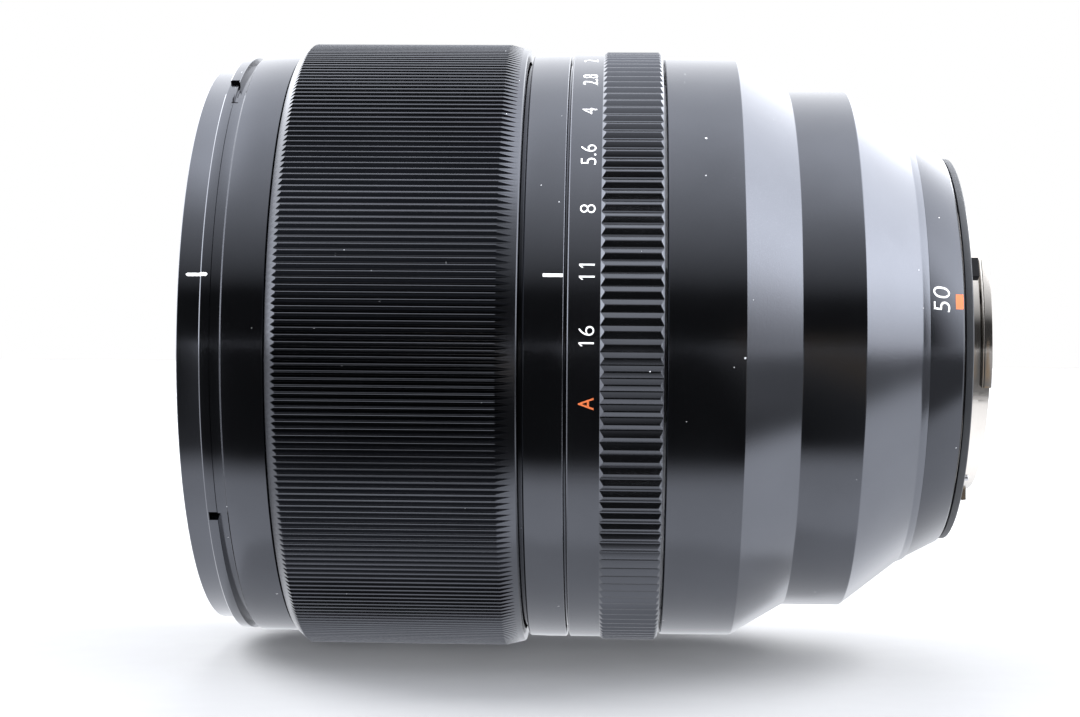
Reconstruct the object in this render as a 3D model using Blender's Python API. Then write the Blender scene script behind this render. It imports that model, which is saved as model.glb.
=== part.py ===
"""A large-aperture prime lens for a mirrorless camera, lying on its side.

Frame: metres, +X along the optical axis from the front rim towards the camera mount, +Z up.
The origin is on the optical axis, half way between the front rim and the end of the bayonet.
Lengths below are in millimetres. A "station" is a distance along the axis behind the front rim,
and an angle is measured about the axis from +Y towards +Z.
"""

import math

import bmesh
import bpy
from mathutils import Vector

MM = 0.001
OUTER_SEGMENTS = 40
INNER_SEGMENTS = 24
SMALL_SEGMENTS = 12

# Overall stations
FLANGE = 103.5
BAYONET_END = 107.1
GAP = 0.3

# Angles about the axis
INDEX_ANGLE = 167.7
STOP_PITCH = 11.55
STOPS_TO_WIDE_OPEN = 7
STOPS_TO_AUTO = 2
CLICKS_TO_WIDE_OPEN = STOP_PITCH * STOPS_TO_WIDE_OPEN
CLICKS_TO_AUTO = STOP_PITCH * STOPS_TO_AUTO

# Camera mount
SCREW_RADIUS_FROM_AXIS = 23.6
SCREW_ANGLES = (30.0, 120.0, 210.0, 300.0)
CLAW_ANGLE, CLAW_WIDTH = 170.0, 48.0
TUBE_BORE, TUBE_WALL, CLAW_RADIUS = 19.0, 20.3, 21.9
CLAW_FRONT = 105.75
PLATE_FRONT = 102.65
SCREW_HEAD, SCREW_SHANK = 1.3, 0.75
COLLAR_HOLE, PLATE_HOLE = 1.05, 1.6
STOP_PIN_ANGLE, STOP_PIN_RADIUS_FROM_AXIS, STOP_PIN_RADIUS = INDEX_ANGLE + 57.5, 24.9, 0.55
CONTACT_HALF_ARC = 36.0

# Focus mechanism
CAM_TURN = 60.0
FOCUS_TRAVEL = 4.2
FOLLOWER_STATION = 40.0
FOLLOWER_ANGLES = (30.0, 150.0, 270.0)
FOLLOWER_RADIUS = 1.2
CAM_SLOT_WIDTH = 3.4
# How far each cam slot runs on past its two end positions, in degrees
CAM_SLOT_MARGIN = 3.0
UNIT_RADIUS = 34.3
CAM_INNER, CAM_OUTER = 34.8, 36.3
TUBE_INNER, TUBE_OUTER = 36.8, 38.2
SLEEVE_INNER, SLEEVE_OUTER = 39.2, 40.6
RING_INNER = 41.1

# Gear train: module, tooth counts and the radius at which both gear axes stand
MODULE = 0.5
CAM_TEETH, SMALL_TEETH, BIG_TEETH, PINION_TEETH = 132, 12, 20, 10
GEAR_ANGLE = 80.0
GEAR_AXIS_RADIUS = (CAM_TEETH - SMALL_TEETH) * MODULE / 2
PINION_OFFSET = (BIG_TEETH + PINION_TEETH) * MODULE / 2
PINION_ANGLE = GEAR_ANGLE - 2 * math.degrees(math.asin(PINION_OFFSET / 2 / GEAR_AXIS_RADIUS))
# In modules: a tooth's height above and below the pitch circle, and half its width at root and tip
TOOTH_ABOVE, TOOTH_BELOW = 0.85, 1.15
TOOTH_CORNERS = (("root", 0.95), ("tip", 0.30), ("tip", -0.30), ("root", -0.95))
SHAFT_HOLE = 1.2

# Iris
BLADES = 9
PIVOT_RADIUS = 26.0
OPEN_RADIUS = 18.0
BLADE_OUTER = 24.3
BLADE_START, BLADE_END = -8.0, 105.0
BLADE_THICKNESS = 0.2
BLADE_LEVEL, BLADE_STEP = 53.8, 0.4
DRIVE_PIN_OFFSET = 3.0
BLADE_CLOSING = 39.4
CAM_RING_TURN = 30.0
IRIS_BASE_FRONT, IRIS_CAM_FRONT = 52.7, 57.6
IRIS_PLATE = 0.7
PIVOT_PIN, DRIVE_PIN, PIVOT_HOLE = 0.7, 0.6, 1.1
IRIS_SLOT_HALF_WIDTH = 0.95
PIN_SIDES = 8
# The share of the way from wide open to fully closed at which the iris rests
REST_SHARE = CLICKS_TO_WIDE_OPEN / (CLICKS_TO_WIDE_OPEN + CLICKS_TO_AUTO)

# Glass: front vertex, rear vertex, front and rear radii of curvature, half diameter
GLASS = [
    (16.0, 23.0, 85, 600, 29.5),
    (23.8, 30.3, 55, 130, 27.0),
    (31.1, 38.6, 60, -260, 23.5),
    (38.9, 40.9, -260, 42, 23.5),
    (42.2, 45.2, 46, 30, 19.0),
    (64.8, 66.6, -32, 70, 18.0),
    (66.9, 74.4, 70, -42, 18.0),
    (75.2, 80.4, 58, -200, 17.6),
    (81.1, 84.3, 80, 300, 17.0),
    (85.4, 87.0, 200, 40, 16.5),
    (88.6, 94.4, 34, -120, 15.0),
    (97.2, 99.0, -40, 150, 15.5),
]
GLASS_STEPS = 2

BLACK = ((0.02, 0.021, 0.024, 1), 0.42, 0.6)
INNER_BLACK = ((0.012, 0.012, 0.013, 1), 0.7, 0.2)
RUBBER = ((0.03, 0.031, 0.033, 1), 0.65, 0.0)
CHROME = ((0.78, 0.74, 0.68, 1), 0.2, 1.0)
STEEL = ((0.45, 0.45, 0.46, 1), 0.35, 1.0)
ALUMINIUM = ((0.55, 0.56, 0.58, 1), 0.4, 1.0)
BRASS = ((0.72, 0.52, 0.24, 1), 0.35, 1.0)
BOARD = ((0.03, 0.12, 0.06, 1), 0.5, 0.0)
POLYIMIDE = ((0.5, 0.24, 0.05, 1), 0.4, 0.0)
COATED_GLASS = ((0.55, 0.62, 0.66, 1), 0.03, 0.0)

# The pieces that read and click the two rings: name, station, angle, length and width
RING_READERS = [
    ("focus_ring_sensor", 30.0, 300.0, 10.0, 8.0),
    ("aperture_sensor", 56.5, 340.0, 5.0, 6.0),
    ("click_spring", 59.5, 20.0, 2.4, 10.0),
]
READER_LOOK = {"focus_ring_sensor": BOARD, "aperture_sensor": BOARD, "click_spring": STEEL}
READER_RADII = {
    "focus_ring_sensor": (38.7, 40.4),
    "aperture_sensor": (38.7, 40.4),
    "click_spring": (39.8, 40.3),
}


def clear_scene():
    for obj in list(bpy.data.objects):
        bpy.data.objects.remove(obj, do_unlink=True)


def place(station, radius, angle):
    """A point in metres from a station, a radius and an angle about the axis."""
    a = math.radians(angle)
    return Vector((station - BAYONET_END / 2, radius * math.cos(a), radius * math.sin(a))) * MM


def across(angle, radius):
    """Distances along Y and Z, in millimetres, of a point at an angle and a radius."""
    a = math.radians(angle)
    return radius * math.cos(a), radius * math.sin(a)


def material(name, look):
    color, roughness, metallic = look
    mat = bpy.data.materials.new(name)
    mat.use_nodes = True
    shader = mat.node_tree.nodes["Principled BSDF"]
    shader.inputs["Base Color"].default_value = color
    shader.inputs["Roughness"].default_value = roughness
    shader.inputs["Metallic"].default_value = metallic
    return mat


def finish(bm, name, look, origin=None):
    """Turn a bmesh in world coordinates into an object whose origin stands at `origin`."""
    origin = origin or Vector((0, 0, 0))
    bmesh.ops.recalc_face_normals(bm, faces=bm.faces)
    if bm.calc_volume(signed=True) < 0:
        bmesh.ops.reverse_faces(bm, faces=bm.faces)
    bmesh.ops.translate(bm, vec=-origin, verts=bm.verts)
    mesh = bpy.data.meshes.new(name)
    bm.to_mesh(mesh)
    bm.free()
    mesh.shade_smooth()
    mesh.set_sharp_from_angle(angle=math.radians(30))
    obj = bpy.data.objects.new(name, mesh)
    obj.location = origin
    bpy.context.scene.collection.objects.link(obj)
    if look:
        mesh.materials.append(material(name, look))
    return obj


def turned(name, look, profile, segments=INNER_SEGMENTS):
    """A body turned about the optical axis from a closed profile of (station, radius)."""
    bm = bmesh.new()
    verts = [bm.verts.new(place(station, radius, 0)) for station, radius in profile]
    pairs = list(zip(verts, verts[1:]))
    if min(radius for _, radius in profile) > 0:
        pairs.append((verts[-1], verts[0]))
    edges = [bm.edges.new(pair) for pair in pairs]
    bmesh.ops.spin(
        bm, geom=verts + edges, cent=(0, 0, 0), axis=(1, 0, 0), angle=math.tau, steps=segments, use_merge=True
    )
    bmesh.ops.remove_doubles(bm, verts=bm.verts, dist=1e-6)
    return finish(bm, name, look)


def prism(name, look, outline, front, rear, origin=None):
    """A plate between two stations whose outline is a list of (y, z) in millimetres."""
    bm = bmesh.new()
    half = BAYONET_END / 2
    face = bm.faces.new([bm.verts.new(Vector((front - half, y, z)) * MM) for y, z in outline])
    grown = bmesh.ops.extrude_face_region(bm, geom=[face])
    moved = [v for v in grown["geom"] if isinstance(v, bmesh.types.BMVert)]
    bmesh.ops.translate(bm, vec=((rear - front) * MM, 0, 0), verts=moved)
    return finish(bm, name, look, origin)


def arc_block(name, look, front, rear, inner, outer, start, end, steps=8):
    """A piece of a ring between two stations, two radii and two angles."""
    angles = [start + (end - start) * i / steps for i in range(steps + 1)]
    outline = [across(a, outer) for a in angles] + [across(a, inner) for a in reversed(angles)]
    return prism(name, look, outline, front, rear)


def disc(center, radius, sides=SMALL_SEGMENTS):
    """The outline of a circle about (y, z)."""
    y, z = center
    steps = [across(360 * i / sides, radius) for i in range(sides)]
    return [(y + dy, z + dz) for dy, dz in steps]


def block(name, look, station, angle, length, width, inner, outer):
    """A flat block that stands on the radial direction at an angle."""
    bm = bmesh.new()
    out = Vector((0, *across(angle, 1)))
    side = Vector((0, *across(angle + 90, 1)))
    bmesh.ops.create_cube(bm, size=1)
    for v in bm.verts:
        along, wide, deep = v.co
        axial = Vector((station - BAYONET_END / 2 + along * length, 0, 0))
        radial = out * ((inner + outer) / 2 + deep * (outer - inner))
        v.co = (axial + radial + side * wide * width) * MM
    return finish(bm, name, look)


def cutter(obj):
    obj.hide_render = True
    obj.display_type = "WIRE"
    return obj


def combine(obj, other, operation):
    """Join or cut an object with a guide object, which the build leaves out."""
    mod = obj.modifiers.new(f"{operation.lower()}_{other.name}", "BOOLEAN")
    mod.operation = operation
    mod.solver = "EXACT"
    mod.object = cutter(other)


def cut(obj, other):
    combine(obj, other, "DIFFERENCE")


def join(obj, other):
    combine(obj, other, "UNION")


# ---------------------------------------------------------------- outer shells


def front_barrel():
    profile = [
        (0, 38.4), (0, 39.6), (0.25, 39.87), (3.2, 39.87), (3.2, 41.2), (3.5, 41.5), (5.9, 41.5),
        (6.1, 41.75), (11.45, 41.75), (11.45, 36.9), (8.0, 36.9), (8.0, 38.1), (0.4, 38.1),
    ]
    barrel = turned("front_barrel", BLACK, profile, OUTER_SEGMENTS)
    for side, turn in enumerate((0, 180)):
        channel = arc_block(f"hood_channel_{side}", None, 4.6, 5.75, 40.3, 43, 35 + turn, 130 + turn, 12)
        entry = arc_block(f"hood_entry_{side}", None, 2.9, 4.9, 40.1, 43, 118 + turn, 125 + turn, 1)
        stop = arc_block(f"hood_stop_{side}", None, 3.6, 4.9, 40.6, 43, 34.6 + turn, 38 + turn, 1)
        for guide in (channel, entry, stop):
            cut(barrel, guide)


def name_ring():
    profile = [(6.2, 36.9), (6.2, 37.7), (7.7, 37.7), (7.7, 36.5), (10.8, 36.5), (10.8, 33.1), (10.0, 33.1)]
    turned("name_ring", INNER_BLACK, profile, OUTER_SEGMENTS)


def index_barrel():
    profile = [
        (11.75, SLEEVE_INNER), (11.75, SLEEVE_OUTER), (44.4, SLEEVE_OUTER), (44.4, 42.1), (49.7, 42.1),
        (49.7, SLEEVE_OUTER), (62.5, SLEEVE_OUTER), (62.5, SLEEVE_INNER),
    ]
    barrel = turned("index_barrel", BLACK, profile, OUTER_SEGMENTS)
    for name, station, angle, length, width in RING_READERS:
        cut(barrel, block(f"{name}_window", None, station, angle, length + 0.8, width + 0.8, 37, 42))


def ring_readers():
    for name, station, angle, length, width in RING_READERS:
        block(name, READER_LOOK[name], station, angle, length, width, *READER_RADII[name])


def rear_barrel():
    profile = [
        (62.8, 39.6), (62.8, 41.4), (63.05, 41.65), (72.8, 41.6), (80.3, 37.15), (88.4, 37.15),
        (97.3, 30.3), (97.3, 28.6), (92.6, 32.3), (92.6, 21.4), (91.1, 21.4), (91.1, 33.4),
        (88.2, 35.6), (80.0, 35.6), (72.3, 39.6),
    ]
    turned("rear_barrel", BLACK, profile, OUTER_SEGMENTS)


def focus_ring():
    profile = [
        (11.75, RING_INNER), (11.75, 42.3), (13.2, 43.5), (41.0, 43.5), (43.75, 42.8), (43.75, RING_INNER),
    ]
    turned("focus_ring", BLACK, profile, OUTER_SEGMENTS)


def aperture_ring():
    profile = [
        (50.05, RING_INNER), (50.05, 41.9), (50.25, 42.1), (54.35, 42.1), (54.8, 42.5), (62.0, 42.5),
        (62.45, 42.05), (62.45, RING_INNER),
    ]
    turned("aperture_ring", BLACK, profile, OUTER_SEGMENTS)


# ---------------------------------------------------------------- camera mount


def mount_collar():
    profile = [(97.6, 21.6), (97.6, 30.1), (102.1, 27.95), (102.35, 27.75), (102.35, 21.6)]
    collar = turned("mount_collar", BLACK, profile, OUTER_SEGMENTS)
    for i, angle in enumerate(SCREW_ANGLES):
        hole = disc(across(angle, SCREW_RADIUS_FROM_AXIS), COLLAR_HOLE)
        cut(collar, prism(f"collar_hole_{i}", None, hole, 98.6, 103))


def mount_gasket():
    profile = [(102.65, 26.75), (102.65, 27.5), (103.7, 27.4), (103.7, 26.75)]
    turned("mount_gasket", RUBBER, profile, OUTER_SEGMENTS)


def bayonet_mount():
    profile = [
        (PLATE_FRONT, TUBE_BORE), (PLATE_FRONT, 26.4), (FLANGE, 26.4), (FLANGE, TUBE_WALL),
        (CLAW_FRONT, TUBE_WALL), (CLAW_FRONT, CLAW_RADIUS), (BAYONET_END, CLAW_RADIUS),
        (BAYONET_END, TUBE_BORE),
    ]
    bayonet = turned("bayonet_mount", CHROME, profile, OUTER_SEGMENTS)
    for i in range(3):
        start = CLAW_ANGLE + CLAW_WIDTH / 2 + 120 * i
        end = start + 120 - CLAW_WIDTH
        cut(bayonet, arc_block(f"claw_gap_{i}", None, CLAW_FRONT - 1, 108, TUBE_WALL, 24, start, end))
    for i, angle in enumerate(SCREW_ANGLES):
        hole = disc(across(angle, SCREW_RADIUS_FROM_AXIS), PLATE_HOLE)
        cut(bayonet, prism(f"plate_hole_{i}", None, hole, 102, 104))


def mount_screws():
    for i, angle in enumerate(SCREW_ANGLES):
        center = across(angle, SCREW_RADIUS_FROM_AXIS)
        origin = place(FLANGE, SCREW_RADIUS_FROM_AXIS, angle)
        screw = prism(f"mount_screw_{i + 1}", STEEL, disc(center, SCREW_HEAD), 102.75, 103.4, origin)
        join(screw, prism(f"screw_shank_{i}", None, disc(center, SCREW_SHANK), 99.0, 103.0))


def flange_pin():
    center = across(STOP_PIN_ANGLE, STOP_PIN_RADIUS_FROM_AXIS)
    prism("flange_pin", STEEL, disc(center, STOP_PIN_RADIUS), 103.8, 104.7)


def rear_baffle():
    profile = [(100.5, 14.3), (100.5, 18.6), (106.2, 18.6), (106.2, 16.3), (101.3, 14.3)]
    turned("rear_baffle", INNER_BLACK, profile, INNER_SEGMENTS)


def contact_strip():
    start = INDEX_ANGLE + 180 - CONTACT_HALF_ARC
    end = start + 2 * CONTACT_HALF_ARC
    arc_block("contact_strip", BRASS, 106.5, 107.0, 16.6, 18.4, start, end, 10)


def electronics():
    arc_block("main_board", BOARD, 94.7, 95.7, 19.8, 27.6, 20, 320, 20)
    block("flex_cable", POLYIMIDE, 80.0, 260, 15.0, 6.0, 34.3, 34.7)


# ---------------------------------------------------------------- focus drive


def gear_outline(teeth, center, tooth_angle):
    """A spur gear's outline about (y, z), with one tooth pointing along `tooth_angle`."""
    pitch = teeth * MODULE / 2
    radii = {"tip": pitch + TOOTH_ABOVE * MODULE, "root": pitch - TOOTH_BELOW * MODULE}
    points = []
    for i in range(teeth):
        middle = tooth_angle + 360 * i / teeth
        for end, half in TOOTH_CORNERS:
            radius = radii[end]
            spread = math.degrees(half * MODULE / radius)
            points.append(across(middle - spread, radius))
    return [(center[0] + y, center[1] + z) for y, z in points]


def cam_barrel():
    profile = [(20.0, CAM_INNER), (20.0, CAM_OUTER), (69.0, CAM_OUTER), (69.0, CAM_INNER)]
    cam = turned("cam_barrel", BRASS, profile)
    steps = 8
    for i, pin in enumerate(FOLLOWER_ANGLES):
        bm = bmesh.new()
        rings = []
        for step in range(steps + 1):
            turn = -CAM_SLOT_MARGIN + (CAM_TURN + 2 * CAM_SLOT_MARGIN) * step / steps
            station = FOLLOWER_STATION - FOCUS_TRAVEL * turn / CAM_TURN
            corners = [
                (station + side * CAM_SLOT_WIDTH / 2, radius, pin - turn)
                for side, radius in ((-1, 33.5), (1, 33.5), (1, 38), (-1, 38))
            ]
            rings.append([bm.verts.new(place(*corner)) for corner in corners])
        for a, b in zip(rings, rings[1:]):
            for j in range(4):
                bm.faces.new((a[j], a[(j + 1) % 4], b[(j + 1) % 4], b[j]))
        bm.faces.new(rings[0])
        bm.faces.new(rings[-1])
        cut(cam, finish(bm, f"cam_slot_{i}", None))


def cam_gear_sector():
    """The inner teeth that the small wheel drives, over the part of the turn that the cam makes."""
    pitch = CAM_TEETH * MODULE / 2
    radii = {"tip": pitch - TOOTH_ABOVE * MODULE, "root": pitch + TOOTH_BELOW * MODULE}
    back = CAM_INNER - GAP
    step = 360 / CAM_TEETH
    first = math.floor(-4 / step)
    last = math.ceil((CAM_TURN + 4) / step)
    outline = []
    for i in range(first, last + 1):
        middle = GEAR_ANGLE - (i + 0.5) * step
        for end, half in TOOTH_CORNERS:
            radius = radii[end]
            outline.append(across(middle + math.degrees(half * MODULE / radius), radius))
    start = GEAR_ANGLE - (last + 1.3) * step
    end = GEAR_ANGLE - (first - 0.3) * step
    steps = 12
    outline += [across(start + (end - start) * i / steps, back) for i in range(steps + 1)]
    prism("cam_gear_sector", BRASS, outline, 66.4, 68.6)


def reduction_gear():
    center = across(GEAR_ANGLE, GEAR_AXIS_RADIUS)
    pinion_center = across(PINION_ANGLE, GEAR_AXIS_RADIUS)
    to_pinion = math.degrees(math.atan2(pinion_center[1] - center[1], pinion_center[0] - center[0]))
    origin = place(70, GEAR_AXIS_RADIUS, GEAR_ANGLE)
    gear = prism("reduction_gear", BRASS, gear_outline(BIG_TEETH, center, to_pinion), 70.7, 72.2, origin)
    join(gear, prism("small_wheel", None, gear_outline(SMALL_TEETH, center, GEAR_ANGLE), 66.4, 68.6))
    join(gear, prism("gear_shaft", None, disc(center, 0.8), 66.0, 74.2))


def motor_pinion():
    center = across(PINION_ANGLE, GEAR_AXIS_RADIUS)
    gear_center = across(GEAR_ANGLE, GEAR_AXIS_RADIUS)
    to_gear = math.degrees(math.atan2(gear_center[1] - center[1], gear_center[0] - center[0]))
    outline = gear_outline(PINION_TEETH, center, to_gear + 180 / PINION_TEETH)
    origin = place(71.5, GEAR_AXIS_RADIUS, PINION_ANGLE)
    pinion = prism("motor_pinion", BRASS, outline, 70.7, 72.2, origin)
    join(pinion, prism("pinion_shaft", None, disc(center, 0.6), 70.3, 74.6))


def focus_motor():
    center = across(PINION_ANGLE, GEAR_AXIS_RADIUS)
    motor = prism("focus_motor", STEEL, disc(center, 4.8, 20), 75.6, 88.2)
    join(motor, prism("motor_boss", None, disc(center, 2.2), 75.0, 76.0))
    plate = arc_block("drive_plate", ALUMINIUM, 73.4, 74.4, 25.6, 35.0, 55, 90, 6)
    cut(plate, prism("journal_hole", None, disc(across(GEAR_ANGLE, GEAR_AXIS_RADIUS), SHAFT_HOLE), 73, 75))
    cut(plate, prism("shaft_hole", None, disc(center, SHAFT_HOLE), 73, 75))


def main_tube():
    profile = [
        (11.8, TUBE_INNER), (11.8, TUBE_OUTER), (69.0, TUBE_OUTER), (69.0, 39.3), (70.3, 39.3),
        (70.3, TUBE_INNER),
    ]
    tube = turned("main_tube", ALUMINIUM, profile)
    length = FOCUS_TRAVEL + CAM_SLOT_WIDTH
    for i, angle in enumerate(FOLLOWER_ANGLES):
        middle = FOLLOWER_STATION - FOCUS_TRAVEL / 2
        cut(tube, block(f"tube_slot_{i}", None, middle, angle, length, CAM_SLOT_WIDTH, 35, 40))


# ---------------------------------------------------------------- focusing unit


def front_cell():
    profile = [
        (15.6, 31.2), (15.6, 32.7), (21.0, 32.7), (21.0, UNIT_RADIUS), (58.9, UNIT_RADIUS), (58.9, 31.4),
        (52.3, 31.4), (52.3, 19.4), (48.5, 19.4), (48.5, 23.9), (33.5, 23.9), (33.5, 27.4), (24.1, 27.4),
        (24.1, 29.9), (21.0, 29.9), (21.0, 31.2),
    ]
    turned("front_cell", INNER_BLACK, profile)
    ring = [(16.6, 29.2), (16.6, 30.9), (20.7, 30.9), (20.7, 29.2)]
    turned("front_retaining_ring", INNER_BLACK, ring)


def rear_cell():
    profile = [
        (59.2, 18.4), (59.2, 34.0), (60.4, 34.0), (60.4, 20.8), (91.0, 20.8), (91.0, 16.9),
        (85.1, 16.9), (85.1, 17.4), (80.7, 17.4), (80.7, 18.0), (71.0, 18.0), (71.0, 18.4),
    ]
    turned("rear_cell", INNER_BLACK, profile)


def rear_group_cell():
    profile = [
        (91.4, 15.4), (91.4, 17.6), (92.9, 17.6), (92.9, 22.8), (94.1, 22.8), (94.1, 18.6),
        (100.2, 18.6), (100.2, 15.9), (93.75, 15.9), (93.75, 15.4),
    ]
    turned("rear_group_cell", INNER_BLACK, profile)


def sag(radius_of_curvature, height):
    """How far a spherical surface lies behind its vertex at a height from the axis."""
    size = abs(radius_of_curvature)
    return math.copysign(size - math.sqrt(size * size - height * height), radius_of_curvature)


def glass_elements():
    for i, (front, rear, front_curve, rear_curve, half) in enumerate(GLASS):
        heights = [half * step / GLASS_STEPS for step in range(GLASS_STEPS + 1)]
        profile = [(front + sag(front_curve, h), h) for h in heights]
        profile += [(rear + sag(rear_curve, h), h) for h in reversed(heights)]
        turned(f"lens_{i + 1}", COATED_GLASS, profile)


def follower_pins():
    for i, angle in enumerate(FOLLOWER_ANGLES):
        bm = bmesh.new()
        bmesh.ops.create_cone(
            bm, cap_ends=True, segments=SMALL_SEGMENTS, radius1=FOLLOWER_RADIUS * MM,
            radius2=FOLLOWER_RADIUS * MM, depth=(TUBE_OUTER - UNIT_RADIUS - GAP) * MM,
        )
        out = Vector((0, *across(angle, 1)))
        turn = Vector((0, 0, 1)).rotation_difference(out).to_matrix().to_4x4()
        bmesh.ops.transform(bm, matrix=turn, verts=bm.verts)
        middle = (TUBE_OUTER + UNIT_RADIUS + GAP) / 2
        bmesh.ops.translate(bm, vec=place(FOLLOWER_STATION, middle, angle), verts=bm.verts)
        finish(bm, f"follower_pin_{i + 1}", STEEL)


# ---------------------------------------------------------------- iris


def turn_about(point, center, angle):
    a = math.radians(angle)
    dy, dz = point[0] - center[0], point[1] - center[1]
    return (
        center[0] + dy * math.cos(a) - dz * math.sin(a),
        center[1] + dy * math.sin(a) + dz * math.cos(a),
    )


def drive_pin(pivot_angle, closing):
    """Where a blade's drive pin stands when the blade has closed by an angle."""
    pivot = across(pivot_angle, PIVOT_RADIUS)
    start = across(pivot_angle, PIVOT_RADIUS + DRIVE_PIN_OFFSET)
    return turn_about(start, pivot, closing)


def iris_base():
    profile = [
        (IRIS_BASE_FRONT, 18.4), (IRIS_BASE_FRONT, 30.9), (IRIS_BASE_FRONT + IRIS_PLATE, 30.9),
        (IRIS_BASE_FRONT + IRIS_PLATE, 18.4),
    ]
    base = turned("iris_base", STEEL, profile)
    for i in range(BLADES):
        hole = disc(across(360 * i / BLADES, PIVOT_RADIUS), PIVOT_HOLE, PIN_SIDES)
        cut(base, prism(f"pivot_hole_{i}", None, hole, 52, 54))


def iris_blades():
    steps = 8
    closing = BLADE_CLOSING * REST_SHARE
    for i in range(BLADES):
        pivot_angle = 360 * i / BLADES
        pivot = across(pivot_angle, PIVOT_RADIUS)
        angles = [BLADE_START + (BLADE_END - BLADE_START) * j / steps for j in range(steps + 1)]
        inner = [across(pivot_angle + a, OPEN_RADIUS) for a in reversed(angles)]
        outer = [across(pivot_angle + a, BLADE_OUTER) for a in angles if a > 5]
        ear = [across(pivot_angle + a, r) for a, r in ((-5.5, 26), (-3, 30.4), (3, 30.4), (5.5, 26))]
        outline = [turn_about(p, pivot, closing) for p in ear + outer + inner]
        front = BLADE_LEVEL + BLADE_STEP * i
        middle = front + BLADE_THICKNESS / 2
        rear = front + BLADE_THICKNESS
        origin = place(front, PIVOT_RADIUS, pivot_angle)
        blade = prism(f"iris_blade_{i + 1}", INNER_BLACK, outline, front, rear, origin)
        pivot_pin = disc(pivot, PIVOT_PIN, PIN_SIDES)
        join(blade, prism(f"blade_pivot_{i}", None, pivot_pin, IRIS_BASE_FRONT + 0.1, middle))
        driver = disc(drive_pin(pivot_angle, closing), DRIVE_PIN, PIN_SIDES)
        join(blade, prism(f"blade_driver_{i}", None, driver, middle, IRIS_CAM_FRONT + 0.5))


def iris_cam_ring():
    rear = IRIS_CAM_FRONT + IRIS_PLATE
    profile = [(IRIS_CAM_FRONT, 20.0), (IRIS_CAM_FRONT, 30.9), (rear, 30.9), (rear, 20.0)]
    ring = turned("iris_cam_ring", BRASS, profile)
    steps = 6
    half = IRIS_SLOT_HALF_WIDTH
    for i in range(BLADES):
        inner, outer = [], []
        for j in range(-1, steps + 2):
            share = min(max(j / steps, 0), 1)
            y, z = drive_pin(360 * i / BLADES, BLADE_CLOSING * share)
            end = 2.0 if j < 0 else -2.0 if j > steps else 0.0
            angle = math.degrees(math.atan2(z, y)) + CAM_RING_TURN * (REST_SHARE - share) + end
            inner.append(across(angle, math.hypot(y, z) - half))
            outer.append(across(angle, math.hypot(y, z) + half))
        cut(ring, prism(f"iris_slot_{i}", None, inner + outer[::-1], 57, 59))


def iris_motor():
    center = across(GEAR_ANGLE + 180, 27.2)
    prism("iris_motor", STEEL, disc(center, 3.4, 16), 60.8, 66.8)


def main():
    clear_scene()
    front_barrel()
    name_ring()
    index_barrel()
    ring_readers()
    rear_barrel()
    focus_ring()
    aperture_ring()
    mount_collar()
    mount_gasket()
    bayonet_mount()
    mount_screws()
    flange_pin()
    rear_baffle()
    contact_strip()
    electronics()
    main_tube()
    cam_barrel()
    cam_gear_sector()
    reduction_gear()
    motor_pinion()
    focus_motor()
    front_cell()
    rear_cell()
    rear_group_cell()
    glass_elements()
    follower_pins()
    iris_base()
    iris_blades()
    iris_cam_ring()
    iris_motor()


main()
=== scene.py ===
"""Studio view of a large-aperture prime lens on its side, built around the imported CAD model.

Lengths are in millimetres until a point is placed. A "station" is a distance along the optical axis (+X)
behind the front rim. A "rise" is an angle about the axis in degrees, from the horizontal on the camera's
side (-Y) towards +Z. Stations and radii start from the boxes of the CAD nodes that a piece replaces.
"""

import math

import bmesh
import bpy
from mathutils import Matrix, Vector


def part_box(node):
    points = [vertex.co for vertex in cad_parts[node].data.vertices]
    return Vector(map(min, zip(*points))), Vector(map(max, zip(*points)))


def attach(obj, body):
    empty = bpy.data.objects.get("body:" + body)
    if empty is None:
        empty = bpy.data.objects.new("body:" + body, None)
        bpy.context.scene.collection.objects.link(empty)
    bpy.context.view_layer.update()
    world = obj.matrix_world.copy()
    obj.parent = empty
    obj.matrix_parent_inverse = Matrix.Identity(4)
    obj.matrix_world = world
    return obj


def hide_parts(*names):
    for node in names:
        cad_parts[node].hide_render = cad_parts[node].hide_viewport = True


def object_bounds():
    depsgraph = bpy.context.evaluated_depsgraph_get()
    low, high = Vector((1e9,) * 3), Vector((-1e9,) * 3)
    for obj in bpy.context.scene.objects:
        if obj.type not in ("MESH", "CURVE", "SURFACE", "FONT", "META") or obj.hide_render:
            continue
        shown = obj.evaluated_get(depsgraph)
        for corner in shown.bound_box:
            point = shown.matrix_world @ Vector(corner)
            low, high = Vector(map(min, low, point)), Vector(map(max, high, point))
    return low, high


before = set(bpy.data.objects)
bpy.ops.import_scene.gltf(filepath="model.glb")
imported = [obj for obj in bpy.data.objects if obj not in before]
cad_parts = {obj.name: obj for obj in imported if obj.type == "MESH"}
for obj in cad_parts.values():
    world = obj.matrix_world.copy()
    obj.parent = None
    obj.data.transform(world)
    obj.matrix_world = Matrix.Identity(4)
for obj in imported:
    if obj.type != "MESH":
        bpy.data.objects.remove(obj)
cad_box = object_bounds()

MM = 0.001
RIM = cad_box[0].x
FLOOR = cad_box[0].z
# Segments round a turned body
FINE, MEDIUM = 360, 180
# The rise of the index marks, and the turn of the aperture ring from one stop to the next
INDEX_RISE = 12.3
STOP_PITCH = 11.55
# Edges sharper than this stay sharp, in degrees
SHARP, RIB_SHARP = 28, 20


# ---------------------------------------------------------------- places and meshes


def place(station, radius, rise):
    """A point in metres from a station, a radius and a rise."""
    a = math.radians(rise)
    return Vector((RIM + station * MM, -radius * MM * math.cos(a), radius * MM * math.sin(a)))


def span(node):
    """The front station, rear station and outer radius of a CAD node that is turned about the axis."""
    low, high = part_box(node)
    return (low.x - RIM) / MM, (high.x - RIM) / MM, high.z / MM


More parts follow.
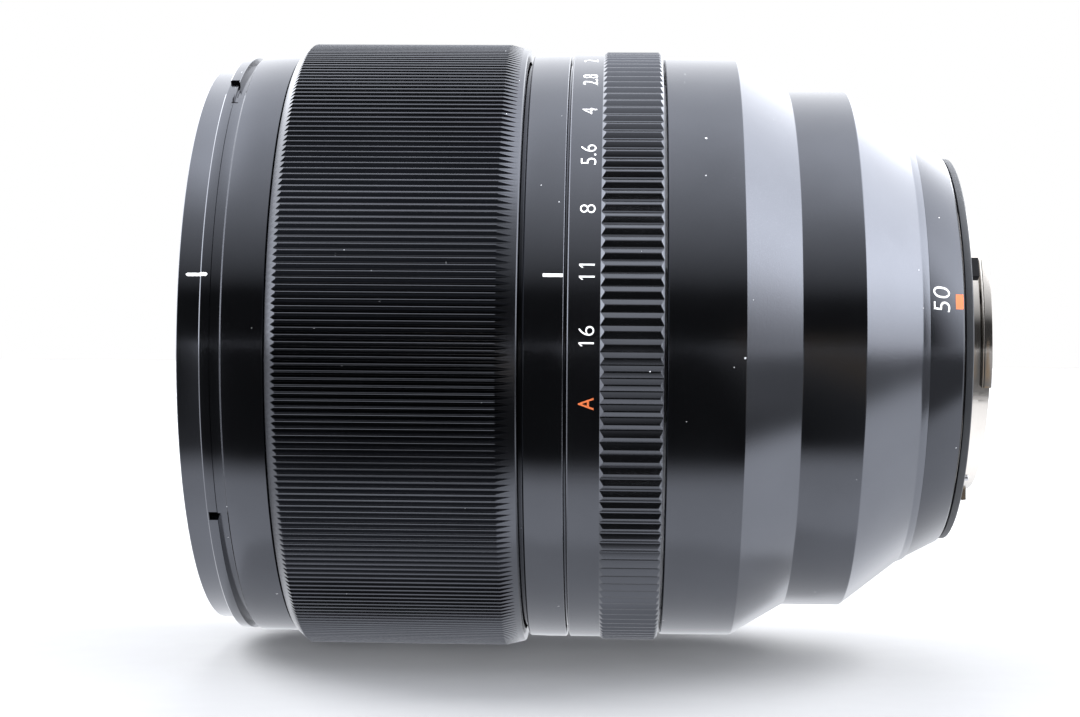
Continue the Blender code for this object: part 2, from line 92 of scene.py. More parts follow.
def rounded(points, default=0.05, steps=3):
    """A closed profile with a curve at each corner; a third number is that corner's own rounding."""
    out = []
    for i, point in enumerate(points):
        here = Vector(point[:2])
        radius = point[2] if len(point) > 2 else default
        before = Vector(points[i - 1][:2]) - here
        after = Vector(points[(i + 1) % len(points)][:2]) - here
        half = before.angle(after) / 2
        if radius == 0 or math.degrees(half) > 89:
            out.append(tuple(here))
            continue
        reach = min(radius / math.tan(half), 0.45 * before.length, 0.45 * after.length)
        start, end = here + before.normalized() * reach, here + after.normalized() * reach
        for step in range(steps + 1):
            t = step / steps
            out.append(tuple(start * (1 - t) ** 2 + here * 2 * t * (1 - t) + end * t**2))
    return out


def piece(name, bm, look, body, stands_for=(), sharp=SHARP):
    """Turns a bmesh in the CAD's frame into a shown piece that rides on a CAD body."""
    bmesh.ops.remove_doubles(bm, verts=bm.verts, dist=1e-8)
    bmesh.ops.recalc_face_normals(bm, faces=bm.faces)
    if bm.calc_volume(signed=True) < 0:
        bmesh.ops.reverse_faces(bm, faces=bm.faces)
    mesh = bpy.data.meshes.new(name)
    bm.to_mesh(mesh)
    bm.free()
    mesh.shade_smooth()
    mesh.set_sharp_from_angle(angle=math.radians(sharp))
    mesh.materials.append(look)
    obj = bpy.data.objects.new(name, mesh)
    bpy.context.scene.collection.objects.link(obj)
    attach(obj, body)
    if stands_for:
        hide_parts(*stands_for)
    return obj


def loft(rings, closed=True):
    """A bmesh from rings of points; with `closed` the last ring meets the first."""
    bm = bmesh.new()
    rows = [[bm.verts.new(point) for point in ring] for ring in rings]
    pairs = list(zip(rows, rows[1:] + rows[:1])) if closed else list(zip(rows, rows[1:]))
    count = len(rows[0])
    for a, b in pairs:
        for i in range(count):
            j = (i + 1) % count
            bm.faces.new((a[i], a[j], b[j], b[i]))
    if not closed:
        bm.faces.new(rows[0])
        bm.faces.new(list(reversed(rows[-1])))
    return bm


def turned(profile, segments=FINE):
    """A body turned about the axis from a closed profile of (station, radius) that stays off the axis."""
    return loft([[place(s, r, 360 * i / segments) for s, r in profile] for i in range(segments)])


def turned_solid(profile, segments):
    """A body turned about the axis from an open profile whose two ends lie on the axis."""
    bm = bmesh.new()
    ends = [bm.verts.new(place(profile[i][0], 0, 0)) for i in (0, -1)]
    rows = []
    for i in range(segments):
        rows.append([bm.verts.new(place(s, r, 360 * i / segments)) for s, r in profile[1:-1]])
    for a, b in zip(rows, rows[1:] + rows[:1]):
        for j in range(len(a) - 1):
            bm.faces.new((a[j], a[j + 1], b[j + 1], b[j]))
        bm.faces.new((ends[0], a[0], b[0]))
        bm.faces.new((ends[1], b[-1], a[-1]))
    return bm


def arc_bar(front, rear, inner, outer, start, end, steps=24):
    """A piece of a ring between two stations, two radii and two rises."""
    corners = [(front, inner), (rear, inner), (rear, outer), (front, outer)]
    rises = [start + (end - start) * i / steps for i in range(steps + 1)]
    return loft([[place(s, r, rise) for s, r in corners] for rise in rises], closed=False)


def post(station, radius, rise, height, size, sides=24, rounding=0.0):
    """A round post that stands along the axis from a station, with its far end rounded."""
    centre = place(station, radius, rise)
    shapes = [(0, size), (height - rounding, size), (height, size - rounding)]
    rings = []
    for along, r in shapes:
        ring = []
        for i in range(sides):
            a = math.tau * i / sides
            ring.append(centre + Vector((along, r * math.cos(a), r * math.sin(a))) * MM)
        rings.append(ring)
    return loft(rings, closed=False)


def carve(obj, cutters):
    """Cuts closed shapes out of a piece, then throws the cutters away."""
    guides = []
    for i, bm in enumerate(cutters):
        bmesh.ops.recalc_face_normals(bm, faces=bm.faces)
        mesh = bpy.data.meshes.new(f"cutter_{i}")
        bm.to_mesh(mesh)
        bm.free()
        guide = bpy.data.objects.new(f"cutter_{i}", mesh)
        bpy.context.scene.collection.objects.link(guide)
        guides.append(guide)
        mod = obj.modifiers.new(f"cut_{i}", "BOOLEAN")
        mod.operation = "DIFFERENCE"
        mod.solver = "EXACT"
        mod.object = guide
    depsgraph = bpy.context.evaluated_depsgraph_get()
    result = bpy.data.meshes.new_from_object(obj.evaluated_get(depsgraph))
    obj.modifiers.clear()
    obj.data = result
    result.shade_smooth()
    result.set_sharp_from_angle(angle=math.radians(SHARP))
    for guide in guides:
        bpy.data.objects.remove(guide, do_unlink=True)


# ---------------------------------------------------------------- materials


def node(tree, kind, inputs=None, **settings):
    """A new node; `inputs` maps a socket's name or number to a value or to another socket."""
    made = tree.nodes.new(kind)
    for key, value in settings.items():
        setattr(made, key, value)
    for key, value in (inputs or {}).items():
        if isinstance(value, bpy.types.NodeSocket):
            tree.links.new(value, made.inputs[key])
        else:
            made.inputs[key].default_value = value
    return made


def calc(tree, operation, a, b=0.0, c=0.0, clamp=False):
    """The output of a maths node."""
    return node(tree, "ShaderNodeMath", {0: a, 1: b, 2: c}, operation=operation, use_clamp=clamp).outputs[0]


def ramp(tree, value, low, high, to_low=0.0, to_high=1.0, smooth=False):
    """`value` mapped from one range to another and held at its ends."""
    kind = "SMOOTHSTEP" if smooth else "LINEAR"
    names = {"Value": value, "From Min": low, "From Max": high, "To Min": to_low, "To Max": to_high}
    return node(tree, "ShaderNodeMapRange", names, interpolation_type=kind).outputs["Result"]


def mix(tree, share, a, b):
    """Colours a and b mixed by a share."""
    made = node(tree, "ShaderNodeMix", {0: share}, data_type="RGBA")
    for socket, value in ((made.inputs[6], a), (made.inputs[7], b)):
        if isinstance(value, bpy.types.NodeSocket):
            tree.links.new(value, socket)
        else:
            socket.default_value = value
    return made.outputs[2]


def noise(tree, where, scale, detail):
    """Soft noise between 0 and 1."""
    inputs = {"Vector": where, "Scale": scale, "Detail": detail}
    return node(tree, "ShaderNodeTexNoise", inputs).outputs["Fac"]


def tone(color, factor=1.0):
    """A colour made darker or lighter, with its fourth number."""
    return (color[0] * factor, color[1] * factor, color[2] * factor, 1)


def specks(tree, where, scale, share):
    """A mask of small round specks: a share of the cells of a lattice hold one each."""
    cells = node(tree, "ShaderNodeTexVoronoi", {"Vector": where, "Scale": scale})
    chosen = node(tree, "ShaderNodeSeparateColor", {0: cells.outputs["Color"]})
    kept = calc(tree, "LESS_THAN", chosen.outputs[0], share)
    size = ramp(tree, chosen.outputs[1], 0.0, 1.0, 0.03, 0.08)
    return calc(tree, "MULTIPLY", calc(tree, "LESS_THAN", cells.outputs["Distance"], size), kept)


DUST_COLOR = (0.5, 0.51, 0.53, 1)
# Turning marks to a metre, along the axis
LATHE_SCALE = 9000.0


def surface(
    name, color, roughness, metallic=0.0, mottle=0.12, grain=0.16, grain_depth=0.004, lathe=0.0,
    dust=0.0, rough_spread=0.04, painted_end_shade=0.0, shader_settings=None,
):
    """A procedural finish.

    color varies by `mottle` in soft patches. `grain` is the size of the surface grain in millimetres and
    grain_depth its height. `lathe` is the height of the turning marks that run round the axis. `dust` is
    the share of cells that hold a pale speck. The end-shade argument paints shade on the faces that look
    along the axis, darkening them.
    """
    mat = bpy.data.materials.new(name)
    mat.use_nodes = True
    tree = mat.node_tree
    shader = tree.nodes["Principled BSDF"]
    shader.inputs["Metallic"].default_value = metallic
    for key, value in (shader_settings or {}).items():
        shader.inputs[key].default_value = value
    where = node(tree, "ShaderNodeTexCoord").outputs["Object"]
    patches = noise(tree, where, 90.0, 4.0)
    fine = noise(tree, where, 1 / (grain * MM), 2.0)
    base = mix(tree, ramp(tree, patches, 0.3, 0.7), tone(color, 1 - mottle), tone(color, 1 + mottle))
    base = mix(tree, ramp(tree, fine, 0.55, 0.8), base, tone(color, 1 + 2 * mottle))
    rough = ramp(tree, patches, 0.3, 0.7, roughness - rough_spread, roughness + rough_spread)
    height = calc(tree, "MULTIPLY", fine, grain_depth * MM)
    # Painted shade: faces that look along the axis are darkened.
    if painted_end_shade:
        normal = node(tree, "ShaderNodeNewGeometry").outputs["Normal"]
        facing = node(tree, "ShaderNodeSeparateXYZ", {0: normal})
        along = calc(tree, "ABSOLUTE", facing.outputs[0])
        base = mix(tree, ramp(tree, along, 0.4, 0.6, 0.0, painted_end_shade), base, tone(color, 0.2))
    if lathe:
        along = node(tree, "ShaderNodeSeparateXYZ", {0: where}).outputs[0]
        marks = node(
            tree, "ShaderNodeTexNoise", {"W": calc(tree, "MULTIPLY", along, LATHE_SCALE), "Detail": 3.0},
            noise_dimensions="1D",
        ).outputs["Fac"]
        height = calc(tree, "ADD", height, calc(tree, "MULTIPLY", marks, lathe * MM))
    if dust:
        large, small = specks(tree, where, 420.0, 0.6 * dust), specks(tree, where, 850.0, dust)
        speck = calc(tree, "MAXIMUM", large, small)
        base = mix(tree, speck, base, DUST_COLOR)
        rough = calc(tree, "ADD", rough, calc(tree, "MULTIPLY", speck, 0.4), clamp=True)
        tree.links.new(calc(tree, "MULTIPLY_ADD", speck, -metallic, metallic), shader.inputs["Metallic"])
    bump = node(tree, "ShaderNodeBump", {"Height": height, "Distance": 1.0, "Strength": 1.0}).outputs[0]
    tree.links.new(base, shader.inputs["Base Color"])
    tree.links.new(rough, shader.inputs["Roughness"])
    tree.links.new(bump, shader.inputs["Normal"])
    return mat


def glass_finish(name, tint, film):
    """Coated optical glass: a thin film colours what it reflects, and faint haze breaks its gloss."""
    mat = bpy.data.materials.new(name)
    mat.use_nodes = True
    tree = mat.node_tree
    shader = tree.nodes["Principled BSDF"]
    settings = {"Transmission Weight": 1.0, "IOR": 1.6, "Thin Film Thickness": film, "Thin Film IOR": 1.38}
    for key, value in settings.items():
        shader.inputs[key].default_value = value
    where = node(tree, "ShaderNodeTexCoord").outputs["Object"]
    haze = noise(tree, where, 160.0, 3.0)
    tree.links.new(ramp(tree, haze, 0.3, 0.8, 0.0, 0.006), shader.inputs["Roughness"])
    tree.links.new(mix(tree, haze, tone(tint, 0.97), tone(tint, 1.0)), shader.inputs["Base Color"])
    return mat


ANODISED = dict(metallic=1.0, mottle=0.05, rough_spread=0.02, dust=0.05)
BLACK = (0.0925, 0.0965, 0.108)
DARK = (0.053, 0.0553, 0.062)
MATT_BLACK = (0.01, 0.01, 0.011)
LOOKS = {
    "barrel": surface(
        "black_anodised", BLACK, 0.15, grain=0.13, grain_depth=0.0008, lathe=0.0004, **ANODISED
    ),
    "blasted": surface("blasted_anodised", BLACK, 0.17, grain=0.18, grain_depth=0.006, **ANODISED),
    "collar": surface("dark_anodised", DARK, 0.17, grain=0.18, grain_depth=0.006, **ANODISED),
    "grip": surface("knurled_anodised", BLACK, 0.2, grain=0.13, grain_depth=0.002, **ANODISED),
    # The focus ring's ribs carry painted shade on the faces that look along the axis.
    "ribs": surface(
        "fine_ribbed_anodised", BLACK, 0.2, grain=0.13, grain_depth=0.004, painted_end_shade=0.6, **ANODISED
    ),
    "inner": surface(
        "matt_inner_black", MATT_BLACK, 0.6, mottle=0.25, lathe=0.004,
        shader_settings={"Specular IOR Level": 0.18},
    ),
    "rubber": surface("gasket_rubber", (0.02, 0.022, 0.026), 0.5, mottle=0.2, grain=0.2, grain_depth=0.02),
    # The bayonet's faces that look along the axis carry painted shade.
    "chrome": surface(
        "bayonet_chrome", (0.74, 0.7, 0.65), 0.14, 1.0, mottle=0.04, grain_depth=0.0005, lathe=0.0012,
        painted_end_shade=0.9,
    ),
    "steel": surface("plain_steel", (0.45, 0.45, 0.46), 0.3, 1.0, lathe=0.001),
    "aluminium": surface("bare_aluminium", (0.55, 0.56, 0.58), 0.38, 1.0, lathe=0.003),
    "brass": surface("turned_brass", (0.72, 0.52, 0.24), 0.32, 1.0, lathe=0.002),
    "board": surface("circuit_board", (0.03, 0.12, 0.06), 0.45, mottle=0.5, grain=0.8),
    "ribbon": surface("polyimide_ribbon", (0.5, 0.24, 0.05), 0.4, mottle=0.2, grain=0.6),
    "blade": surface("blade_black", (0.02, 0.02, 0.022), 0.38, 0.5, mottle=0.2),
    "gold": surface("contact_gold", (0.9, 0.66, 0.3), 0.2, 1.0, mottle=0.05, grain_depth=0.001),
    "white": surface("white_paint", (0.93, 0.93, 0.93), 0.5, mottle=0.02, grain_depth=0.002),
    "orange": surface("orange_paint", (0.6, 0.13, 0.03), 0.5, mottle=0.05, grain_depth=0.002),
    "glass": glass_finish("coated_glass", (0.97, 0.99, 0.98), 125.0),
}

# The finish of each CAD node that stays visible, by the record's slot name
SLOT_LOOKS = {
    "black_metal": "barrel",
    "inner_black": "inner",
    "gasket_rubber": "rubber",
    "bayonet_chrome": "chrome",
    "steel": "steel",
    "bare_aluminium": "aluminium",
    "brass": "brass",
    "circuit_board": "board",
    "ribbon": "ribbon",
    "blade_black": "blade",
    "coated_glass": "glass",
    "gold": "gold",
}


def dress_cad_nodes():
    """Gives each CAD node the procedural finish of its material; the cam barrel is blackened brass."""
    for name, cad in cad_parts.items():
        for slot in cad.material_slots:
            look = SLOT_LOOKS.get(slot.material.name.split(".")[0], "inner")
            slot.material = LOOKS["inner" if name == "cam_barrel" else look]


# ---------------------------------------------------------------- barrels

# How far the lip and the flange behind it lie below the front barrel's band, and where they end
LIP_DROP, FLANGE_DROP = 1.8, 0.25
LIP_END, BAND_START = 3.2, 5.88
SEAM_STATION = 4.58
THREAD_START, THREAD_PITCH, THREAD_DEPTH, THREAD_TURNS = 0.9, 0.75, 0.4, 6
BORE = 38.1
# The hood's channels on one side: front, rear, depth below the flange, first and last rise, steps
HOOD_CUTS = [
    (4.6, 5.8, 1.0, 54.6, 147.5, 60),
    (3.05, 4.5, 0.5, 54.2, 60.0, 6),
    (4.4, 5.75, 0.8, 52.6, 59.2, 6),
    (4.35, 5.2, 1.2, 50.8, 52.9, 4),
    (3.45, 4.65, 1.2, 145.9, 147.7, 4),
]


def front_barrel():
    """The barrel from the rim to the focus ring, with the filter thread and the hood's channels."""
    front, rear, top = span("front_barrel")
    lip, flange = top - LIP_DROP, top - FLANGE_DROP
    outer = [
        (front, BORE + 0.7, 0.05), (front, lip - 0.1, 0.06), (front + 0.1, lip, 0.06), (LIP_END, lip, 0.04),
        (LIP_END, flange - 0.13, 0.02), (LIP_END + 0.14, flange, 0.05), (SEAM_STATION - 0.05, flange, 0),
        (SEAM_STATION, flange - 0.06, 0), (SEAM_STATION + 0.05, flange, 0), (BAND_START, flange, 0.03),
        (BAND_START + 0.2, top, 0.04), (rear, top, 0.12), (rear, 36.9), (8.0, 36.9), (8.0, BORE),
    ]
    thread = []
    for turn in range(THREAD_TURNS):
        station = THREAD_START + THREAD_PITCH * (THREAD_TURNS - turn)
        thread += [(station, BORE, 0.03), (station - THREAD_PITCH / 2, BORE + THREAD_DEPTH, 0.03)]
    profile = rounded(outer + thread + [(THREAD_START, BORE, 0.03), (0.5, BORE, 0.05)])
    look = LOOKS["barrel"]
    barrel = piece("front_barrel_shell", turned(profile), look, "barrel", ["front_barrel"])
    cutters = []
    for side in (0, 180):
        for start, end, deep, low, high, steps in HOOD_CUTS:
            cutters.append(arc_bar(start, end, flange - deep, top + 1, low + side, high + side, steps))
    carve(barrel, cutters)


def name_ring():
    """The stepped ring behind the filter thread, with light-trap steps down to the front cell."""
    front, rear, top = span("name_ring")
    steps = 7
    profile = [
        (front, top - 0.8, 0.05), (front, top, 0.05), (7.7, top, 0.05), (7.7, 36.5), (rear, 36.5),
        (rear, 33.1),
    ]
    for i in range(steps):
        along = rear - 0.8 - (rear - 0.8 - front) * i / steps
        radius = 33.1 + (top - 0.8 - 33.1) * i / steps
        profile += [(along, radius, 0.02), (along - 0.12, radius + 0.38, 0.02)]
    ring = turned(rounded(profile, 0.03))
    piece("name_ring_steps", ring, LOOKS["inner"], "barrel", ["name_ring"])


def index_barrel():
    """The fixed ring with the index bar, and the sleeve that the two rings turn on."""
    front, rear, top = span("index_barrel")
    sleeve, inner = 40.6, 39.2
    start, end = 44.4, 49.7
    profile = rounded([
        (front, inner), (front, sleeve), (start, sleeve), (start, top - 0.25, 0.03),
        (start + 0.2, top - 0.08, 0.05), (46.93, top, 0.1), (end - 0.15, top, 0.06),
        (end, top - 0.15, 0.04), (end, sleeve), (rear, sleeve), (rear, inner),
    ])
    look = LOOKS["barrel"]
    piece("index_barrel_shell", turned(profile), look, "barrel", ["index_barrel"])


def rear_barrel():
    """A cylinder, a cone, a narrower waist and a second cone down to the collar."""
    front, rear, top = span("rear_barrel")
    waist, tail = 37.15, 30.3
    profile = rounded([
        (front, 39.6), (front, top - 0.2, 0.05), (front + 0.2, top, 0.08), (72.8, top - 0.05, 0.25),
        (80.3, waist, 0.3), (88.4, waist, 0.3), (96.4, tail + 0.72, 1.2), (rear + 0.15, tail + 0.3, 0.02),
        (rear + 0.15, 28.6), (92.6, 32.3), (92.6, 21.4), (91.1, 21.4), (91.1, 33.4), (88.2, 35.6),
        (80.0, 35.6), (72.3, 39.6),
    ])
    look = LOOKS["blasted"]
    piece("rear_barrel_shell", turned(profile), look, "barrel", ["rear_barrel"])


def mount_collar():
    """The tapered collar that carries the focal length, with holes for the mount screws."""
    front, rear, top = span("mount_collar")
    profile = rounded([
        (front - 0.1, 21.6), (front - 0.1, top + 0.3, 0.02), (rear - 0.2, 28.0, 0.05), (rear, 27.8, 0.03),
        (rear, 21.6),
    ])
    look = LOOKS["collar"]
    collar = piece("mount_collar_shell", turned(profile), look, "barrel", ["mount_collar"])
    carve(collar, [post(98.6, r, rise, 5, 1.05) for r, rise in SCREWS])


def mount_gasket():
    """The rubber lip that stands proud of the mount plate."""
    front, rear, top = span("mount_gasket")
    profile = rounded([
        (front, 26.75), (front, top, 0.08), (rear - 0.15, top - 0.05, 0.1), (rear, top - 0.35, 0.1),
        (rear, 26.75),
    ])
    piece("mount_gasket_lip", turned(profile), LOOKS["rubber"], "barrel", ["mount_gasket"])


# ---------------------------------------------------------------- rings with grips


def grip_ring(name, cad, look, before, foot, chamfer, end, rear_foot, after, ribs, section, depth):
    """A turned ring whose grooves run out into its chamfers.

    before and after are the profile's points in front of and behind the chamfers, foot to chamfer is the
    front chamfer and end to rear_foot the rear one. section lists one rib's (share of the pitch, share
    of the groove's depth).
    """
    top = chamfer[1]

    def meet(low, high, radius):
        share = (radius - low[1]) / (high[1] - low[1])
        return low[0] + (high[0] - low[0]) * share, radius

    rings = []
    for rib in range(ribs):
        for share, deep in section:
            rise = 360 * (rib + share) / ribs
            radius = top - depth * deep
            front_slope = [foot, meet(foot, chamfer, radius)]
            rear_slope = [meet(rear_foot, end, radius), rear_foot]
            profile = before + front_slope + rear_slope + after
            rings.append([place(s, r, rise) for s, r in profile])
    return piece(name, loft(rings), look, cad, [cad], sharp=RIB_SHARP)


FOCUS_RIBS, FOCUS_GROOVE = 300, 0.5
APERTURE_RIBS, APERTURE_GROOVE = 158, 0.37
RING_BORE = 41.1
# How far the aperture ring's number band lies below its ribs
BAND_DROP = 0.4
# A narrow land between V grooves, and a ridge with its crest and its valley just blunted
FOCUS_SECTION = [
    (-0.19, 0.24), (-0.15, 0.08), (-0.06, 0), (0.06, 0), (0.15, 0.08), (0.19, 0.24), (0.45, 1), (0.55, 1),
]
APERTURE_SECTION = [(-0.07, 0.04), (-0.04, 0), (0.04, 0), (0.07, 0.04), (0.45, 1), (0.55, 1)]


def focus_ring():
    """The wide ring with fine ribs and a chamfer at each end."""
    front, rear, top = span("focus_ring")
    grip_ring(
        "focus_ring_grip", "focus_ring", LOOKS["ribs"],
        [(front, RING_BORE), (front, 42.2)], (front + 0.08, 42.3), (13.2, top), (41.0, top),
        (rear - 0.15, 42.85), [(rear, 42.72), (rear, RING_BORE)], FOCUS_RIBS, FOCUS_SECTION, FOCUS_GROOVE,
    )


def aperture_ring():
    """The number band and, behind it, a narrower band of coarser ribs."""
    front, rear, top = span("aperture_ring")
    band = top - BAND_DROP
    grip_ring(
        "aperture_ring_grip", "aperture_ring", LOOKS["grip"],
        [(front, RING_BORE), (front, band - 0.22), (front + 0.05, band - 0.1), (front + 0.18, band)],
        (54.3, band), (54.81, top), (rear - 0.45, top), (rear - 0.03, band - 0.02),
        [(rear, band - 0.06), (rear, RING_BORE)], APERTURE_RIBS, APERTURE_SECTION, APERTURE_GROOVE,
    )


# ---------------------------------------------------------------- printed marks

# How far paint stands above the metal
PAINT = 0.02


def mark_bar(name, profile, rise, width, look, body):
    """A painted bar at one height that follows an outer profile of (station, radius), with rounded ends."""
    reach = [0.35] + [1.0] * (len(profile) - 2) + [0.35]
    height = profile[-1][1] * math.sin(math.radians(rise))
    rings = []
    for (s, r), share in zip(profile, reach):
        half = math.degrees(width * share / 2 / r)
        level = math.degrees(math.asin(height / r))
        rises = [level + half * k / 2 for k in (-2, -1, 0, 1, 2)]
        over = [place(s, r + PAINT, a) for a in rises]
        under = [place(s, r - PAINT, a) for a in reversed(rises)]
        rings.append(over + under)
    return piece(name, loft(rings, closed=False), LOOKS[look], body)


def flag_ones(bm, height):
    """Gives each plain upright stroke, which is how the built-in font draws a 1, its slanting flag."""
    seen = set()
    for first in list(bm.verts):
        if first in seen:
            continue
        island, front = set(), [first]
        while front:
            v = front.pop()
            if v not in island:
                island.add(v)
                front += [e.other_vert(v) for e in v.link_edges]
        seen |= island
        left, right = (f(v.co.x for v in island) for f in (min, max))
        low, high = (f(v.co.y for v in island) for f in (min, max))
        if high - low < 0.9 * height or right - left > 0.25 * height:
            continue
        depths = [f(v.co.z for v in island) for f in (min, max)]
        stroke = right - left
        outline = [
            (left, high), (left - 1.3 * stroke, high - 1.5 * stroke),
            (left - 1.3 * stroke, high - 2.6 * stroke), (left, high - 1.3 * stroke),
        ]
        sides = [[bm.verts.new((x, y, z)) for x, y in outline] for z in depths]
        for i in range(4):
            j = (i + 1) % 4
            bm.faces.new((sides[0][i], sides[0][j], sides[1][j], sides[1][i]))
        bm.faces.new(sides[0])
        bm.faces.new(list(reversed(sides[1])))


def printed(name, text, height, squeeze, station, radius, rise, look, body):
    """Numerals wrapped on a turned surface, read from below to above, with their feet towards the mount."""
    curve = bpy.data.curves.new(name, "FONT")
    curve.body = text
    curve.align_x, curve.align_y = "CENTER", "CENTER"
    curve.resolution_u = 6
    curve.offset = STROKE_WEIGHT[look]
    curve.extrude = 0.02
    source = bpy.data.objects.new(name, curve)
    bpy.context.scene.collection.objects.link(source)
    mesh = bpy.data.meshes.new_from_object(source.evaluated_get(bpy.context.evaluated_depsgraph_get()))
    bpy.data.objects.remove(source, do_unlink=True)
    bm = bmesh.new()
    bm.from_mesh(mesh)
    low, high = (f(v.co.y for v in bm.verts) for f in (min, max))
    scale = height / (high - low)
    middle = (high + low) / 2
    flag_ones(bm, high - low)
    for cut in range(-20, 21):
        where = Vector((cut * 0.4 / scale / squeeze, 0, 0))
        geom = bm.verts[:] + bm.edges[:] + bm.faces[:]
        bmesh.ops.bisect_plane(bm, geom=geom, plane_co=where, plane_no=(1, 0, 0), dist=1e-7)
    for v in bm.verts:
        along = (v.co.y - middle) * scale
        around = math.degrees(v.co.x * scale * squeeze / radius(station))
        s = station - along
        lift = PAINT if v.co.z > 0 else -PAINT
        v.co = place(s, radius(s) + lift, rise + around)
    return piece(name, bm, LOOKS[look], body)


F_NUMBERS = ["A", "16", "11", "8", "5.6", "4", "2.8", "2", "1.4", "1"]
NUMERAL_STATION, NUMERAL_HEIGHT, NUMERAL_LIFT = 52.56, 1.98, 0.6
# How far the strokes of the built-in font grow or shrink, as a share of its size
STROKE_WEIGHT = {"white": -0.014, "orange": 0.004}


def markings():
    """The index bars, the aperture numbers, the focal length and the mount's alignment mark."""
    front_top = span("front_barrel")[2]
    lip, flange = front_top - LIP_DROP, front_top - FLANGE_DROP
    over_the_step = [
        (1.06, lip), (1.25, lip), (LIP_END - 0.04, lip), (LIP_END - 0.04, flange - 0.13),
        (LIP_END + 0.14, flange), (3.95, flange), (4.13, flange),
    ]
    mark_bar("front_index_mark", over_the_step, INDEX_RISE - 0.3, 0.46, "white", "barrel")
    index_top = span("index_barrel")[2]
    mark_bar(
        "index_mark", [(46.95, index_top), (46.98, index_top), (49.5, index_top), (49.53, index_top)],
        INDEX_RISE - 0.25, 0.44, "white", "barrel",
    )
    band = span("aperture_ring")[2] - BAND_DROP
    for i, text in enumerate(F_NUMBERS):
        name = "aperture_auto_mark" if text == "A" else "aperture_number_" + text.replace(".", "_")
        rise = INDEX_RISE + NUMERAL_LIFT + STOP_PITCH * (i - F_NUMBERS.index("11"))
        look, squeeze = ("orange", 0.82) if text == "A" else ("white", 1.04)
        printed(
            name, text, NUMERAL_HEIGHT, squeeze, NUMERAL_STATION, lambda s: band, rise, look,
            "aperture_ring",
        )
    front, rear, top = span("mount_collar")

    def collar(s):
        return top + 0.3 + (28.0 - top - 0.3) * (s - front + 0.1) / (rear - 0.2 - front + 0.1)

    printed("focal_length_mark", "50", 2.33, 1.08, 99.1, collar, INDEX_RISE + 0.3, "white", "barrel")
    bar = [(s, collar(s)) for s in (101.1, 101.12, 101.6, 102.2, 102.22)]
    mark_bar("mount_index_mark", bar, 12.7, 2.03, "orange", "barrel")


# ---------------------------------------------------------------- camera mount

SCREWS = [(23.6, 180 - theta) for theta in (30, 120, 210, 300)]
CLAW_RISE, CLAW_WIDTH = 10.0, 48.0
BAYONET_BORE, BAYONET_WALL, CLAW_RADIUS = 19.0, 20.3, 21.9
PLATE_REAR, CLAW_FRONT = 103.5, 105.75


def bayonet():
    """The chrome plate and tube, with three claws and the screws' countersinks."""
    front, rear, _ = span("bayonet_mount")
    profile = rounded([
        (front, BAYONET_BORE), (front, 26.4, 0.05), (PLATE_REAR - 0.12, 26.4, 0.05),
        (PLATE_REAR, 26.25, 0.05), (PLATE_REAR, BAYONET_WALL + 0.3, 0.1),
        (PLATE_REAR + 0.25, BAYONET_WALL, 0.1), (CLAW_FRONT, BAYONET_WALL),
        (CLAW_FRONT, CLAW_RADIUS, 0.06), (CLAW_FRONT + 0.2, CLAW_RADIUS, 0.04),
        (CLAW_FRONT + 0.26, CLAW_RADIUS - 0.07, 0), (CLAW_FRONT + 0.32, CLAW_RADIUS, 0.04),
        (rear, CLAW_RADIUS, 0.15), (rear, BAYONET_BORE, 0.1),
    ])
    look = LOOKS["chrome"]
    mount = piece("bayonet_flange", turned(profile), look, "barrel", ["bayonet_mount"])
    cutters = []
    for i in range(3):
        start = CLAW_RISE + CLAW_WIDTH / 2 + 120 * i
        gap = 120 - CLAW_WIDTH
        cutters.append(arc_bar(CLAW_FRONT - 0.8, 108, BAYONET_WALL, 24, start, start + gap, 48))
    cutters += [post(102, r, rise, 2, 1.6, 32) for r, rise in SCREWS]
    carve(mount, cutters)


def screw_heads():
    """Four crosshead screws sunk in the mount plate."""
    for i, (r, rise) in enumerate(SCREWS):
        body = post(102.75, r, rise, 0.65, 1.45, 32, 0.2)
        cad = f"mount_screw_{i + 1}"
        head = piece(f"mount_screw_head_{i + 1}", body, LOOKS["steel"], "barrel", [cad])
        centre = place(103.1, r, rise)
        carve(head, [box_at(centre, (0.8, 1.6, 0.32), turn) for turn in (rise + 45, rise + 135)])


def flange_details():
    """The stop pin and the black lock tab on the mount plate."""
    low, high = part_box("flange_pin")
    middle = (low + high) / 2
    rise = math.degrees(math.atan2(middle.z, -middle.y))
    radius = math.hypot(middle.y, middle.z) / MM
    height = (high.x - low.x) / MM
    station = (low.x - RIM) / MM
    pin = post(station, radius, rise, height, 0.42, 24, 0.12)
    piece("flange_stop_pin", pin, LOOKS["steel"], "barrel", ["flange_pin"])
    tab = arc_bar(PLATE_REAR - 0.1, 104.85, 24.4, 25.9, 22.1, 28.2, 6)
    piece("flange_lock_tab", tab, LOOKS["inner"], "barrel")


def box_at(centre, size, turn):
    """A box about a point, its size in millimetres, turned about the axis."""
    bm = bmesh.new()
    bmesh.ops.create_cube(bm, size=1)
    spin = Matrix.Rotation(math.radians(turn), 3, "X")
    for v in bm.verts:
        v.co = centre + spin @ Vector([a * b * MM for a, b in zip(v.co, size)])
    return bm


CONTACTS = 10
CONTACT_HALF_ARC = 34.0


def contacts():
    """The black contact block behind the rear glass and its ten gilt contacts."""
    rear = span("contact_strip")[1]
    middle = INDEX_RISE - 180
    block = arc_bar(103.6, rear - 0.35, 16.4, 18.7, middle - 38, middle + 38, 60)
    piece("contact_block", block, LOOKS["inner"], "barrel")
    for i in range(CONTACTS):
        rise = middle + CONTACT_HALF_ARC * (2 * i / (CONTACTS - 1) - 1)
        pad = arc_bar(rear - 0.6, rear, 16.9, 18.2, rise - 2.4, rise + 2.4, 6)
        stands_for = ["contact_strip"] if i == 0 else []
        piece(f"contact_{i + 1}", pad, LOOKS["gold"], "barrel", stands_for)


